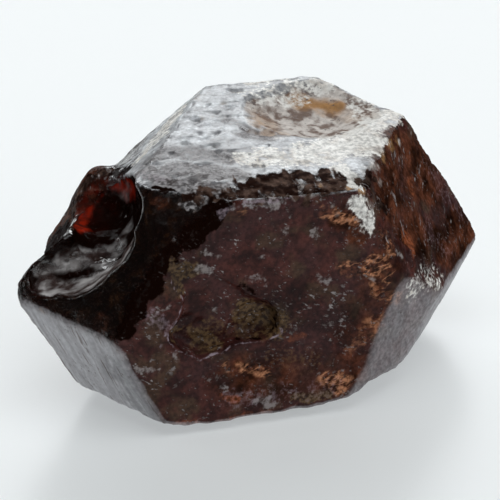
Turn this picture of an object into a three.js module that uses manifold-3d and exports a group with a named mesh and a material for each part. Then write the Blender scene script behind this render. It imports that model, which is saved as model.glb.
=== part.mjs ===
// Zircon crystal, loose and doubly terminated: a stubby four-sided prism with a pyramid at each end,
// lying on one of its prism faces. It grew as one piece, so it is one solid.
//
// Millimetres, +Z up. The long axis of the crystal lies along X. The origin is on the surface that
// the crystal rests on, under the middle of its outline.
//
// Zircon is tetragonal. A crystal face is the plane with Miller index (h k l), and its direction
// follows from the index and from the one axial ratio of the mineral. So the crystal is a block from
// which one half-space is cut away for each face. Then a knob swells beside the big chip, and the old
// fractures are scooped out.

import * as THREE from 'three';
import { mergeVertices } from 'three/addons/utils/BufferGeometryUtils.js';
import Module from 'manifold-3d';

// ---- driving dimensions ----

const AXIAL_RATIO = 0.9054; // length of the c axis over the length of an a axis, for zircon
const ROUGH_BLOCK = 40; // the block that the faces are cut from
const LOWER_CORNERS = 4.75; // from the crystal's middle down to the lower corners of the front face
const REST_DROP = 0.6; // how far the rest face lies below those corners, because they are worn up
const REST_DISTANCE = LOWER_CORNERS + REST_DROP;
const FRONT_UNDERCUT = 0.22; // how much lower the worn flat under the front starts than the others

// Crystal faces: Miller index, a small lean in degrees towards X, Y and Z, because a natural face is
// seldom quite true, and the distance from the crystal's middle.
const CRYSTAL_FACES = [
  // the prism
  { name: 'upper prism', index: [1, 1, 0], lean: [3.5, -3, 0], distance: 4.4 },
  { name: 'front prism', index: [1, -1, 0], lean: [0, 0, 1.5], distance: 5.05 },
  { name: 'back prism', index: [-1, 1, 0], lean: [-0.5, 0, 0], distance: 5.2 },
  { name: 'rest face', index: [-1, -1, 0], lean: [0, 0, 0], distance: REST_DISTANCE },
  // the left pyramid
  { name: 'left upper front', index: [1, 0, 1], lean: [0, -3, -3], distance: 7.5 },
  { name: 'left lower front', index: [0, -1, 1], lean: [-3, 1, 4.5], distance: 8.5 },
  { name: 'left upper back', index: [0, 1, 1], lean: [0, 0, 0], distance: 7 },
  { name: 'left lower back', index: [-1, 0, 1], lean: [-0.5, 0, 0.5], distance: 7.45 },
  // the right pyramid
  { name: 'right upper front', index: [1, 0, -1], lean: [2, -1.5, -4.5], distance: 6.1 },
  { name: 'right lower front', index: [0, -1, -1], lean: [0.5, -1.5, 3], distance: 7.4 },
  { name: 'right upper back', index: [0, 1, -1], lean: [1.5, -4.5, 1.5], distance: 7.6 },
  { name: 'right lower back', index: [-1, 0, -1], lean: [0, 0, 0], distance: 9.1 },
  // the steeper faces that take off two corners
  { name: 'left shoulder', index: [1, 3, 2], lean: [0, 0, 0], distance: 5.55 },
  { name: 'right shoulder', index: [1, -2, -1], lean: [4, 1, 4], distance: 6.45 },
];

// Wear: the underside's edges are rubbed up, so the flat rest face is smaller than the prism face
// was, and one upper corner is rubbed off. Heading is the compass direction in degrees from +X
// towards +Y, slope is above the horizon, and edge is a point that the worn flat passes through,
// from the crystal's middle.
const WORN_FLATS = [
  { name: 'under the front', heading: -90, slope: -76, edge: [0, -5.2, -LOWER_CORNERS - FRONT_UNDERCUT] },
  { name: 'under the left end', heading: -163, slope: -75.5, edge: [-5.35, -5.2, -LOWER_CORNERS] },
  { name: 'under the right end', heading: -37, slope: -75, edge: [2.2, -5.2, -LOWER_CORNERS] },
  { name: 'under the back', heading: 90, slope: -72, edge: [0, 5.2, -LOWER_CORNERS] },
  { name: 'front upper left corner', heading: -115, slope: 33, edge: [-2.1, -4.95, 4.3] },
];

// Fractures: each is a shell-shaped scoop, as zircon breaks. The scoop is an ellipsoid whose middle
// is at the given place, raised off the named face, with its longest half-width along one direction.
// The big chip is three of them, which run into each other over a low saddle.
const SCOOPS = [
  {
    name: 'big chip, upper bowl', face: 'left shoulder', middle: [-6.45, -1.1, 3.1], raise: 0.1,
    along: [0.18, 0.93, -0.32], halfWidths: [3.6, 1.6, 1.85],
  },
  {
    name: 'big chip, lower scoop', face: 'left upper front', middle: [-7.75, -2.25, 1.45], raise: 0.25,
    along: [-0.67, 0.5, -0.55], halfWidths: [2.7, 1.3, 1.45],
  },
  {
    name: 'big chip, saddle', face: 'left upper front', middle: [-6.4, -1.15, 1.95], raise: 0,
    along: [-0.64, 0.36, -0.68], halfWidths: [1.3, 1.4, 1],
  },
  {
    name: 'sag beyond the big chip', face: 'left upper back', middle: [-8, 1.45, 0.35], raise: 5.55,
    along: [0.51, 0.86, 0], halfWidths: [5.9, 5.9, 5.9],
  },
  {
    name: 'pocket, right lobe', face: 'front prism', middle: [-1.4, -5.05, -1], raise: 0.6,
    along: [1, 0, 0], halfWidths: [1.2, 1.15, 1.25],
  },
  {
    name: 'pocket, left lobe', face: 'front prism', middle: [-3.7, -5.05, -1.15], raise: 0.75,
    along: [1, 0, -0.15], halfWidths: [1.9, 1.25, 1.35],
  },
  {
    name: 'pocket, upper lobe', face: 'front prism', middle: [-3.55, -5.05, 0.55], raise: 1.0,
    along: [0.45, 0, 1], halfWidths: [2.5, 1.7, 1.3],
  },
  {
    name: 'hollow on top', face: 'upper prism', middle: [3.2, 2.15, 4.35], raise: 3.3,
    along: [1, 0.2, 0], halfWidths: [5.9, 4.6, 3.9],
  },
  {
    name: 'dent in the hollow', face: 'upper prism', middle: [0.9, 1.15, 4.4], raise: 1.25,
    along: [1, 0.4, 0], halfWidths: [1.9, 1.6, 1.5],
  },
];

// The knob left standing behind the big chip, where the break ran out. It is an ellipsoid too, most
// of it inside the crystal.
const KNOB = {
  face: 'left shoulder', middle: [-5.3, 3, 1.9], raise: -1,
  along: [0.51, 0.86, 0], halfWidths: [1.8, 1.8, 1.7],
};
const ELLIPSOID_RINGS = 14;
const ELLIPSOID_SECTORS = 28;

// ---- the solid modeller ----

const wasm = await Module();
wasm.setup();

function toSolid(geometry) {
  const bare = geometry.clone();
  bare.deleteAttribute('normal');
  bare.deleteAttribute('uv');
  const merged = mergeVertices(bare);
  return new wasm.Manifold(new wasm.Mesh({
    numProp: 3,
    vertProperties: Float32Array.from(merged.attributes.position.array),
    triVerts: Uint32Array.from(merged.index.array),
  }));
}

function toGeometry(solid) {
  const mesh = solid.getMesh();
  const geometry = new THREE.BufferGeometry();
  geometry.setAttribute('position', new THREE.Float32BufferAttribute(mesh.vertProperties, 3));
  geometry.setIndex(Array.from(mesh.triVerts));
  return geometry;
}

// ---- directions ----

// The crystal lies on its side: the c axis points along -X, and the two a axes stand at 45 degrees
// to the floor.
const A1 = new THREE.Vector3(0, -1, 1).normalize();
const A2 = new THREE.Vector3(0, 1, 1).normalize();
const C = new THREE.Vector3(-1, 0, 0);

function crystalNormal([h, k, l], lean) {
  const ideal = new THREE.Vector3()
    .addScaledVector(A1, h)
    .addScaledVector(A2, k)
    .addScaledVector(C, l / AXIAL_RATIO)
    .normalize();
  const tip = new THREE.Vector3(...lean).multiplyScalar(THREE.MathUtils.DEG2RAD);
  return ideal.add(tip).normalize();
}

function compassNormal(heading, slope) {
  const turn = THREE.MathUtils.degToRad(heading);
  const rise = THREE.MathUtils.degToRad(slope);
  return new THREE.Vector3(
    Math.cos(rise) * Math.cos(turn),
    Math.cos(rise) * Math.sin(turn),
    Math.sin(rise),
  );
}

// ---- cutting ----

// Everything outside a plane, as a block that is large enough to clear the crystal.
function outside(normal, distance) {
  const block = new THREE.BoxGeometry(2 * ROUGH_BLOCK, 2 * ROUGH_BLOCK, ROUGH_BLOCK);
  block.translate(0, 0, ROUGH_BLOCK / 2 + distance);
  block.applyQuaternion(new THREE.Quaternion().setFromUnitVectors(new THREE.Vector3(0, 0, 1), normal));
  return toSolid(block);
}

// The ellipsoid of one scoop or of the knob, with its last half-width square to the face it is on.
function ellipsoidSolid({ middle, raise, along, halfWidths }, normal) {
  const lengthwise = new THREE.Vector3(...along).projectOnPlane(normal).normalize();
  const crosswise = new THREE.Vector3().crossVectors(normal, lengthwise);
  const place = new THREE.Matrix4().makeBasis(lengthwise, crosswise, normal);
  place.setPosition(new THREE.Vector3(...middle).addScaledVector(normal, raise));
  const ellipsoid = new THREE.SphereGeometry(1, ELLIPSOID_SECTORS, ELLIPSOID_RINGS);
  ellipsoid.scale(...halfWidths);
  ellipsoid.applyMatrix4(place);
  return toSolid(ellipsoid);
}

function crystalGeometry() {
  let solid = toSolid(new THREE.BoxGeometry(ROUGH_BLOCK, ROUGH_BLOCK, ROUGH_BLOCK));
  const normals = {};
  for (const face of CRYSTAL_FACES) {
    normals[face.name] = crystalNormal(face.index, face.lean);
    solid = solid.subtract(outside(normals[face.name], face.distance));
  }
  for (const flat of WORN_FLATS) {
    const normal = compassNormal(flat.heading, flat.slope);
    solid = solid.subtract(outside(normal, normal.dot(new THREE.Vector3(...flat.edge))));
  }
  solid = solid.add(ellipsoidSolid(KNOB, normals[KNOB.face]));
  for (const scoop of SCOOPS) {
    solid = solid.subtract(ellipsoidSolid(scoop, normals[scoop.face]));
  }
  return toGeometry(solid);
}

// ---- the crystal ----

const geometry = crystalGeometry();
geometry.computeBoundingBox();
const { min, max } = geometry.boundingBox;
geometry.translate(-(min.x + max.x) / 2, -(min.y + max.y) / 2, -min.z);

const darkZircon = new THREE.MeshStandardMaterial({ color: 0x3b2320, roughness: 0.25, metalness: 0 });
const crystal = new THREE.Mesh(geometry, darkZircon);
crystal.name = 'zircon_crystal';

const group = new THREE.Group();
group.add(crystal);

export default group;
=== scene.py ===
# %% [markdown]
# # A rough zircon crystal
#
# The object is one loose crystal, two centimetres long: a stubby four-sided prism with a pyramid at
# each end. It is dark red-brown, glassy where its growth faces survive, chipped at one end, etched in
# places, and stained with rust and a chalky frosting.
#
# The plan is the order in which the real stone came about. First it grew, as flat faces at fixed
# angles. Then it was broken and worn. Last come the fine relief and the colours. Everything is
# modelled in millimetres on a workbench and shrunk to metres at the end, because 4.4 is easier to
# read and to change than 0.0044.

# %% Load the frame
import math
import random

import bmesh
import bpy
import numpy as np
from mathutils import Matrix, Vector, kdtree, noise


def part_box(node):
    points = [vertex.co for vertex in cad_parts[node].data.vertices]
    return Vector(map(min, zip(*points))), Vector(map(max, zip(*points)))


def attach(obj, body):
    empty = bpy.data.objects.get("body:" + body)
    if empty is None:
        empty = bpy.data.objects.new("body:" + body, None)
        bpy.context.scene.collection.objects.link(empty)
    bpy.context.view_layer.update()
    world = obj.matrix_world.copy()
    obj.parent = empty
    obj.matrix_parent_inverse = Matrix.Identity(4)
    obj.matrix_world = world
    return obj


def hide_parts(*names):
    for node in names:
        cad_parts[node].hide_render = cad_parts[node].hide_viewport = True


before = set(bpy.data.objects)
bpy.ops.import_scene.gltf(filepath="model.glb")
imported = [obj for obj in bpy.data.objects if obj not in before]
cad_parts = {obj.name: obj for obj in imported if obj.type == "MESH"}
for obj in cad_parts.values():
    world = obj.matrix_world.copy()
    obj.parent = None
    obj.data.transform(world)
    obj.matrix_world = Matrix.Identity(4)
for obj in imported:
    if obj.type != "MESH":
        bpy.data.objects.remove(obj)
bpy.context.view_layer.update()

NODE = "zircon_crystal"
MM = 0.001
cad_low, cad_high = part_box(NODE)
print("the CAD crystal is", [round(side / MM, 2) for side in cad_high - cad_low], "mm")

# %% [markdown]
# ## Directions in the crystal
#
# Zircon is tetragonal: two equal axes and a third one, c, that is 0.9054 times as long. A growth face
# is named by three whole numbers, its Miller index, and they give its direction at once. The crystal
# lies on its side, with c along -X and the two equal axes at 45 degrees to the floor. Real faces lean
# a little, so each has a small lean of its own, in degrees towards X, Y and Z.

# %% Face directions from Miller indices
AXIAL_RATIO = 0.9054
A1 = Vector((0, -1, 1)).normalized()
A2 = Vector((0, 1, 1)).normalized()
C = Vector((-1, 0, 0))


def face_direction(index, lean):
    h, k, l = index
    ideal = (A1 * h + A2 * k + C * (l / AXIAL_RATIO)).normalized()
    return (ideal + Vector(lean) * math.radians(1)).normalized()


def compass_direction(heading, slope):
    turn, rise = math.radians(heading), math.radians(slope)
    return Vector((math.cos(rise) * math.cos(turn), math.cos(rise) * math.sin(turn), math.sin(rise)))


# name: (Miller index, lean in degrees, distance in mm from the crystal's middle)
GROWTH_FACES = {
    "upper prism": ((1, 1, 0), (3.5, -3, 0), 4.4),
    "front prism": ((1, -1, 0), (0, 0, 1.5), 5.05),
    "back prism": ((-1, 1, 0), (-0.5, 0, 0), 5.2),
    "rest face": ((-1, -1, 0), (0, 0, 0), 5.35),
    "left upper front": ((1, 0, 1), (0, -3, -3), 7.5),
    "left lower front": ((0, -1, 1), (-3, 1, 4.5), 8.5),
    "left upper back": ((0, 1, 1), (0, 0, 0), 7.0),
    "left lower back": ((-1, 0, 1), (-0.5, 0, 0.5), 7.45),
    "right upper front": ((1, 0, -1), (2, -1.5, -4.5), 6.1),
    "right lower front": ((0, -1, -1), (0.5, -1.5, 3), 7.4),
    "right upper back": ((0, 1, -1), (1.5, -4.5, 1.5), 7.6),
    "right lower back": ((-1, 0, -1), (0, 0, 0), 9.1),
    "left shoulder": ((1, 3, 2), (0, 0, 0), 5.55),
    "right shoulder": ((1, -2, -1), (4, 1, 4), 6.45),
}
# name: (heading, slope, a point on the flat, in mm from the crystal's middle)
WORN_FLATS = {
    "under the front": (-90, -76, (0, -5.2, -4.97)),
    "under the left end": (-163, -75.5, (-5.35, -5.2, -4.75)),
    "under the right end": (-37, -75, (2.2, -5.2, -4.75)),
    "under the back": (90, -72, (0, 5.2, -4.75)),
    "front corner": (-115, 33, (-2.1, -4.95, 4.3)),
}
planes = {name: (face_direction(index, lean), far) for name, (index, lean, far) in GROWTH_FACES.items()}
for name, (heading, slope, point) in WORN_FLATS.items():
    direction = compass_direction(heading, slope)
    planes[name] = (direction, direction.dot(Vector(point)))
print(len(planes), "planes bound the crystal")

# %% [markdown]
# ## Growing the crystal
#
# A crystal could be modelled by placing its corners by hand, but the corners are only a consequence
# of where the faces are. So the modelling follows the mineral: start with a block, and let
# bisect_plane slice off what is outside each face. Each slice leaves one open loop, which is filled.

# %% Cut the block
BLOCK = 40.0
SAME_POINT = 1e-4


def cut_away(bm, direction, distance):
    """Removes what lies further out than the plane, and closes the cut."""
    cut = bmesh.ops.bisect_plane(
        bm, geom=bm.verts[:] + bm.edges[:] + bm.faces[:], dist=SAME_POINT,
        plane_co=direction * distance, plane_no=direction, clear_outer=True,
    )
    rim = [e for e in cut["geom_cut"] if isinstance(e, bmesh.types.BMEdge)]
    if rim:
        bmesh.ops.edgeloop_fill(bm, edges=rim)


def grow_crystal():
    bm = bmesh.new()
    bmesh.ops.create_cube(bm, size=BLOCK)
    for direction, distance in planes.values():
        cut_away(bm, direction, distance)
    bmesh.ops.recalc_face_normals(bm, faces=bm.faces[:])
    return bm


crystal_bm = grow_crystal()
corners = [v.co.copy() for v in crystal_bm.verts]
low = Vector([min(c[axis] for c in corners) for axis in range(3)])
high = Vector([max(c[axis] for c in corners) for axis in range(3)])
middle = (cad_low + cad_high) / (2 * MM) - (low + high) / 2
bmesh.ops.translate(crystal_bm, verts=crystal_bm.verts, vec=middle)
for name, (direction, distance) in planes.items():
    planes[name] = (direction, distance + direction.dot(middle))
print("blocked out with", len(crystal_bm.faces), "faces; its middle stands at",
      [round(value, 3) for value in middle], "mm in the frame")

# %% [markdown]
# ## Wear on the edges
#
# Tumbling in gravel rounds the edges and blunts the tips. The tips stick out most and lose most, so
# each gets a few small flats first, cut square to the way it points. Then a bevel with a few segments
# goes round every edge.

# %% Blunt the tips and bevel the edges
EDGE_WEAR = 0.3
# each row: (heading, slope, how much is worn off the point that reaches furthest that way, in mm)
BLUNTED = [(180, 0, 0.25), (200, 25, 0.18), (190, -30, 0.2), (15, 5, 0.15), (0, -25, 0.2), (-15, 25, 0.15),
           (45, 10, 0.2)]


def wear_edges(bm):
    for heading, slope, depth in BLUNTED:
        direction = compass_direction(heading, slope)
        furthest = max(direction.dot(v.co) for v in bm.verts)
        cut_away(bm, direction, furthest - depth)
    bmesh.ops.bevel(bm, geom=bm.edges[:], offset=EDGE_WEAR, offset_type="OFFSET", affect="EDGES",
                    segments=3, profile=0.5, material=-1, clamp_overlap=True)
    bmesh.ops.recalc_face_normals(bm, faces=bm.faces[:])


wear_edges(crystal_bm)
print("worn:", len(crystal_bm.verts), "vertices")


def to_object(bm, name):
    mesh = bpy.data.meshes.new(name)
    bm.to_mesh(mesh)
    bm.free()
    piece = bpy.data.objects.new(name, mesh)
    bpy.context.scene.collection.objects.link(piece)
    return piece


crystal = to_object(crystal_bm, "crystal")


# %% [markdown]
# ## Breaks
#
# Zircon has no good cleavage. It breaks like glass, in shell-shaped scoops with ripples round the
# point that was struck. Each scoop is cut with a boolean by a lumpy ellipsoid: a sphere from bmesh,
# stretched, and pushed in and out by noise. The ripples come later, with the fine relief. A scoop is
# turned to the face it broke out of, so its three half-widths run along, across and outwards.

# %% Where three planes meet
def meeting_point(*names):
    """The corner where three planes meet, in mm in the frame."""
    rows = Matrix([planes[name][0] for name in names])
    return rows.inverted() @ Vector([planes[name][1] for name in names])


def face_axes(name, along):
    """Along, across and outwards, for a face: three directions at right angles."""
    outward = planes[name][0]
    lengthwise = Vector(along)
    lengthwise = (lengthwise - outward * lengthwise.dot(outward)).normalized()
    return lengthwise, outward.cross(lengthwise), outward


chip_corner = meeting_point("upper prism", "left upper front", "left shoulder")
CHIP_RUN = planes["left upper front"][0].cross(planes["left shoulder"][0]).normalized()
CHIP_ACROSS = planes["left upper front"][0].cross(CHIP_RUN)
CHIP_AWAY = CHIP_RUN.cross(planes["left shoulder"][0])
print("the chip starts at the corner", [round(value, 2) for value in chip_corner])

# %% [markdown]
# ## The shapes of the breaks
#
# The big chip at the left end is two scoops that run into each other, and a third that lowers the
# saddle between them. The upper face has a wide shallow hollow, with a deeper dent at its left end.
# Each break is one row of numbers, so it can be moved or resized without touching the code that cuts
# it. The booleans stay as modifiers, and the remesh in the next step applies them all at once.

# %% The scoops
SCOOP_SUBDIVISIONS = 5
SCOOP_OCTAVES = 3
# of every noise: how fast its finer waves weaken, and how much finer each is than the last
FRACTAL = (1.0, 2.0)
# name: (face, run of the scoop, starting point, how far the middle is raised above that point,
#        half-widths, depth of the lumps, size of the lumps), in mm
SCOOPS = {
    "upper bowl": ("left shoulder", CHIP_AWAY * 0.9 + CHIP_RUN * 0.43,
                   chip_corner + CHIP_RUN * 2.2 + CHIP_AWAY * 1.0, 0.1, (3.6, 1.6, 1.85), 0.10, 0.9),
    "lower scoop": ("left upper front", CHIP_RUN * 0.98 - CHIP_ACROSS * 0.19,
                    chip_corner + CHIP_RUN * 3.75 + CHIP_ACROSS * 1.05, 0.25, (2.7, 1.3, 1.45), 0.14, 1.1),
    "saddle": ("left upper front", CHIP_RUN, Vector((-6.4, -1.2, 7.3)), 0.0, (1.3, 1.4, 1.0), 0.10, 0.8),
    "hollow on top": ("upper prism", (1, 0.2, 0), Vector((3.2, 2.1, 9.7)), 3.3, (5.9, 4.6, 3.9), 0.16, 1.3),
    "dent on top": ("upper prism", (1, 0.4, 0), Vector((0.9, 1.1, 9.75)), 1.25, (1.9, 1.6, 1.5), 0.12, 0.7),
}


def scoop_object(name, face, run, start, raised, half_widths, lump_depth, lump_size):
    axes = face_axes(face, run)
    place = Matrix(axes).transposed().to_4x4()
    place.translation = start + axes[2] * raised
    bm = bmesh.new()
    bmesh.ops.create_icosphere(bm, subdivisions=SCOOP_SUBDIVISIONS, radius=1.0)
    bmesh.ops.scale(bm, vec=half_widths, verts=bm.verts)
    for v in bm.verts:
        v.co += v.co.normalized() * lump_depth * noise.fractal(v.co / lump_size, *FRACTAL, SCOOP_OCTAVES)
    bmesh.ops.transform(bm, matrix=place, verts=bm.verts)
    return to_object(bm, name.replace(" ", "_"))


def break_out(piece, cutters):
    for cutter in cutters:
        cut = piece.modifiers.new("cut", "BOOLEAN")
        cut.operation = "DIFFERENCE"
        cut.solver = "EXACT"
        cut.object = cutter


cutters = [scoop_object(name, *values) for name, values in SCOOPS.items()]
break_out(crystal, cutters)
print("scooped out", len(cutters), "breaks")

# %% [markdown]
# ## An even skin
#
# So far the crystal has a few hundred faces of very different sizes. Fine relief needs an even skin of
# small ones. A voxel remesh gives that, and keeps the solid closed. The voxel is chosen so that the
# piece stays under 200,000 triangles.

# %% Remesh
VOXEL = 0.098


def even_skin(piece):
    """Remeshes a piece evenly, and replaces its mesh with what its modifiers make."""
    skin = piece.modifiers.new("skin", "REMESH")
    skin.mode = "VOXEL"
    skin.voxel_size = VOXEL
    depsgraph = bpy.context.evaluated_depsgraph_get()
    made = bpy.data.meshes.new_from_object(piece.evaluated_get(depsgraph))
    piece.modifiers.clear()
    piece.data = made
    print("the skin has", len(made.vertices), "points and", len(made.polygons), "quads")


even_skin(crystal)
for cutter in cutters:
    bpy.data.objects.remove(cutter)


# %% [markdown]
# ## Reading and moving the skin
#
# The fine work is done like clay: every point of the skin is moved a little along its normal by a
# depth that a few formulas give. NumPy holds all the points at once, and mathutils.noise supplies the
# irregularity. A face's own share of a point, from 0 to 1, says where that face's relief applies.

# %% Skin helpers
SEED_SHIFT = Vector((17.1, 5.3, 9.7))
# skin belongs to a face if it faces the same way (two cosines: not yet, fully) and isn't deeper than this
FACING = (0.84, 0.96)
FACE_REACH = 0.6


def read_skin(piece):
    count = len(piece.data.vertices)
    places, directions = np.empty(count * 3), np.empty(count * 3)
    piece.data.vertices.foreach_get("co", places)
    piece.data.vertices.foreach_get("normal", directions)
    return places.reshape(-1, 3), directions.reshape(-1, 3)


def write_skin(piece, places):
    piece.data.vertices.foreach_set("co", places.ravel())
    piece.data.update()


def smooth_step(value, start, end):
    share = np.clip((value - start) / (end - start), 0, 1)
    return share * share * (3 - 2 * share)


def lumps(places, size, octaves=2, seed=0):
    """Soft noise, about -1 to 1. Its lumps are about size mm apart."""
    shift = SEED_SHIFT * seed
    return np.array([noise.fractal(Vector(p) / size + shift, *FRACTAL, octaves) for p in places])


def shaken(places, reach, size, octaves, seeds):
    """Places moved about by noise, so that a border read there comes out ragged."""
    return places + reach * np.stack([lumps(places, size, octaves, seed) for seed in seeds], axis=1)


def stretched(places, direction, factor):
    """Places squeezed along a direction, so that noise read there comes out drawn out along it."""
    direction = np.array(Vector(direction).normalized())
    return places - np.outer(places @ direction, direction) * (1 - 1 / factor)


def depth_below(places, name):
    """How deep each point lies under one face, in mm."""
    direction, distance = planes[name]
    return distance - places @ np.array(direction)


def depth_in_crystal(places):
    """How deep each point lies under the face nearest to it, in mm."""
    return np.min([depth_below(places, name) for name in planes], axis=0)


def covered(values):
    return "%.1f %% of the skin" % (100 * float((values > 0.5).mean()))


def share_of_face(places, directions, name):
    facing = directions @ np.array(planes[name][0])
    below = depth_below(places, name)
    return smooth_step(facing, *FACING) * (1 - smooth_step(below, FACE_REACH / 2, FACE_REACH))


points, _ = read_skin(crystal)
print("the breaks reach", round(float(depth_in_crystal(points).max()), 2), "mm under the faces")


# %% [markdown]
# ## Ridges in the chip
#
# Where one scoop runs into the next, the booleans leave a sharp ridge. Broken glass has a soft saddle
# there. smooth_vert moves each point towards the middle of its neighbours, and is used only on the
# points deep inside the chip, so that the chip keeps its crisp rim.

# %% Melt the ridges of the chip
# the chip lies to the left of CHIP_RIGHT, before CHIP_BACK and above CHIP_BOTTOM
CHIP_RIGHT = -3.5
CHIP_BACK = 3.0
CHIP_BOTTOM = 4.0
SMOOTHING_ROUNDS = 80
SMOOTH_BELOW = 0.35


def melt_ridges(piece):
    """Smooths the skin deep inside the chip, where one scoop runs into the next."""
    bm = bmesh.new()
    bm.from_mesh(piece.data)
    places, _ = read_skin(piece)
    deep = (depth_in_crystal(places) > SMOOTH_BELOW) & (places[:, 0] < CHIP_RIGHT)
    deep &= places[:, 2] > CHIP_BOTTOM
    bm.verts.ensure_lookup_table()
    chosen = [bm.verts[index] for index in np.flatnonzero(deep)]
    for _ in range(SMOOTHING_ROUNDS):
        bmesh.ops.smooth_vert(bm, verts=chosen, factor=0.5, use_axis_x=True, use_axis_y=True, use_axis_z=True)
    bm.to_mesh(piece.data)
    bm.free()
    print("melted", len(chosen), "points in the chip")


melt_ridges(crystal)

# %% [markdown]
# ## The pocket in the front face
#
# A flake has come out of the front face. It is a thin wedge: shallow along its upper edge, and ending
# in a crisp step at its lower edge. Three rounder hollows sit in its floor. Its outline is a short
# list of corners on the front face, and a point's distance from that outline gives the depth. The
# skin is remeshed afterwards, because the step stretches it.

# %% Carve the pocket
POCKET_OUTLINE = [(-4.85, 6.5), (-4.35, 5.75), (-4.5, 5.05), (-5.15, 4.4), (-4.7, 3.7), (-3.75, 3.15),
                  (-2.85, 3.4), (-2.2, 3.65), (-1.2, 3.55), (-0.5, 3.75), (-0.55, 4.65), (-1.0, 5.2),
                  (-1.6, 5.45), (-2.2, 6.05), (-2.8, 6.5), (-3.5, 6.9), (-4.25, 7.2), (-4.85, 7.1)]
# its depth everywhere, and how much is added per mm downwards, from which height and for how many mm
POCKET_SILL = 0.06
POCKET_WEDGE = 0.2
POCKET_TOP = 6.9
POCKET_TALL = 4
# how wide the step at its edge is, and how far behind the front face it still cuts
POCKET_STEP = 0.16
POCKET_FRONT = 1.2
# how its outline is shaken: how far, size of the lumps, octaves, seeds
POCKET_RAGGED = (0.07, 0.35, 2, (1, 2, 3))
# the hollows in its floor: (x, z, radius, depth) in mm, and the share of the radius that is flat
POCKET_HOLLOWS = [(-1.4, 4.4, 0.85, 0.10), (-2.3, 4.1, 0.3, 0.08), (-4.1, 4.2, 0.8, 0.12)]
HOLLOW_FLAT = 0.72


def outline_distance(x, z, outline):
    """How far inside a closed outline each point is, in mm; below zero outside."""
    nearest = np.full(x.shape, np.inf)
    inside = np.zeros(x.shape, bool)
    for (x0, z0), (x1, z1) in zip(outline, outline[1:] + outline[:1]):
        run_x, run_z = x1 - x0, z1 - z0
        share = np.clip(((x - x0) * run_x + (z - z0) * run_z) / (run_x**2 + run_z**2), 0, 1)
        nearest = np.minimum(nearest, np.hypot(x - x0 - share * run_x, z - z0 - share * run_z))
        crosses = (z0 > z) != (z1 > z)
        inside ^= crosses & (x < x0 + (z - z0) / (z1 - z0 + 1e-12) * run_x)
    return np.where(inside, nearest, -nearest)


def pocket_depth(places):
    ragged = shaken(places, *POCKET_RAGGED)
    inside = outline_distance(ragged[:, 0], ragged[:, 2], POCKET_OUTLINE)
    wedge = POCKET_SILL + POCKET_WEDGE * np.clip(POCKET_TOP - places[:, 2], 0, POCKET_TALL)
    depth = smooth_step(inside, 0, POCKET_STEP) * wedge
    for x, z, radius, deep in POCKET_HOLLOWS:
        away = np.hypot(ragged[:, 0] - x, ragged[:, 2] - z) / radius
        depth += deep * smooth_step(-away, -1, -HOLLOW_FLAT)
    return depth * (depth_below(places, "front prism") < POCKET_FRONT) * (places[:, 1] < 0)


points, _ = read_skin(crystal)
inward = -np.array(planes["front prism"][0])
carved = pocket_depth(points)
write_skin(crystal, points + np.outer(carved, inward))
even_skin(crystal)
print("the pocket is up to", round(float(carved.max()), 2), "mm deep")

# %% [markdown]
# ## Fine relief
#
# No natural face is a mirror. Long slow waves run over all of them, and the edges are worn unevenly.
# The upper face droops towards the front, and is wrinkled and dented.

# %% Relief by face
points, normals = read_skin(crystal)
share = {name: share_of_face(points, normals, name) for name in planes}

SLOW_WAVES = 0.06
FAST_WAVES = 0.018
relief = SLOW_WAVES * lumps(points, 2.6, 2, 4) + FAST_WAVES * lumps(points, 0.8, 2, 5)

# uneven rounding along the edges: a point near two faces at once is worn back
ROUNDING = 0.13
ROUNDING_WIDTH = 0.75
depths = np.sort([depth_below(points, name) for name in planes], axis=0)
near_edge = np.clip(1 - depths[1] / ROUNDING_WIDTH, 0, 1) ** 2
relief -= ROUNDING * near_edge * np.clip(0.6 + 0.9 * lumps(points, 1.3, 3, 8), 0, 2)

# the upper face droops towards its front edge, and is wrinkled from left to right
DROOP = 0.26
DROOP_WIDTH = 2.2
to_front_edge = np.minimum(depth_below(points, "front prism"), depth_below(points, "left upper front"))
to_front_edge = np.minimum(to_front_edge, depth_below(points, "front corner") * 1.5)
droop = DROOP * np.clip(1 - to_front_edge / DROOP_WIDTH, 0, 1) ** 2
WRINKLE = 0.045
WRINKLE_RUN = (1, 0.25, 0)
wrinkles = WRINKLE * lumps(stretched(points, WRINKLE_RUN, 2.4), 0.42, 2, 6)
wrinkles *= smooth_step(lumps(points, 1.5, 1, 7), -0.4, 0.5)
relief += share["upper prism"] * (wrinkles - droop)

# and it is knocked about, in dents of about half a millimetre
DENT = 0.09
DENTS_RIGHT = 1.0
dents = smooth_step(lumps(stretched(points, WRINKLE_RUN, 1.6), 0.42, 3, 66), 0.28, 0.6)
dents *= share["upper prism"] * (points[:, 0] < DENTS_RIGHT)
relief -= DENT * dents
print("dents cover", covered(dents))

# %% [markdown]
# ## Growth lines and shell ripples
#
# A crystal face grows in steps, and the edges of the steps stay as fine lines. They are noise drawn
# out along one direction, which differs from face to face. In the breaks, shell ripples run round the
# place that was struck.

# %% Growth lines and ripples
# name: (direction of the lines, their depth, their spacing)
GROWTH_LINES = {
    "right upper front": ((0.25, 0.81, 0.53), 0.03, 0.5),
    "left lower front": ((-0.457, 0.02, 0.89), 0.03, 0.35),
    "right lower front": ((0.45, -0.1, 0.88), 0.02, 0.25),
    "right upper back": ((-0.3, 0.7, -0.6), 0.03, 0.28),
    "left upper back": ((0.5, 0.1, 0.8), 0.025, 0.25),
    "left lower back": ((0.5, 0.1, -0.8), 0.025, 0.25),
    "right lower back": ((0.5, 0.1, 0.8), 0.025, 0.25),
    "back prism": ((1, 0, 0.1), 0.02, 0.3),
}
LINE_STRETCH = 6
FIRST_LINE_SEED = 10
for seed, (name, (direction, depth, spacing)) in enumerate(GROWTH_LINES.items(), FIRST_LINE_SEED):
    relief += depth * share[name] * lumps(stretched(points, direction, LINE_STRETCH), spacing, 2, seed)

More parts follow.
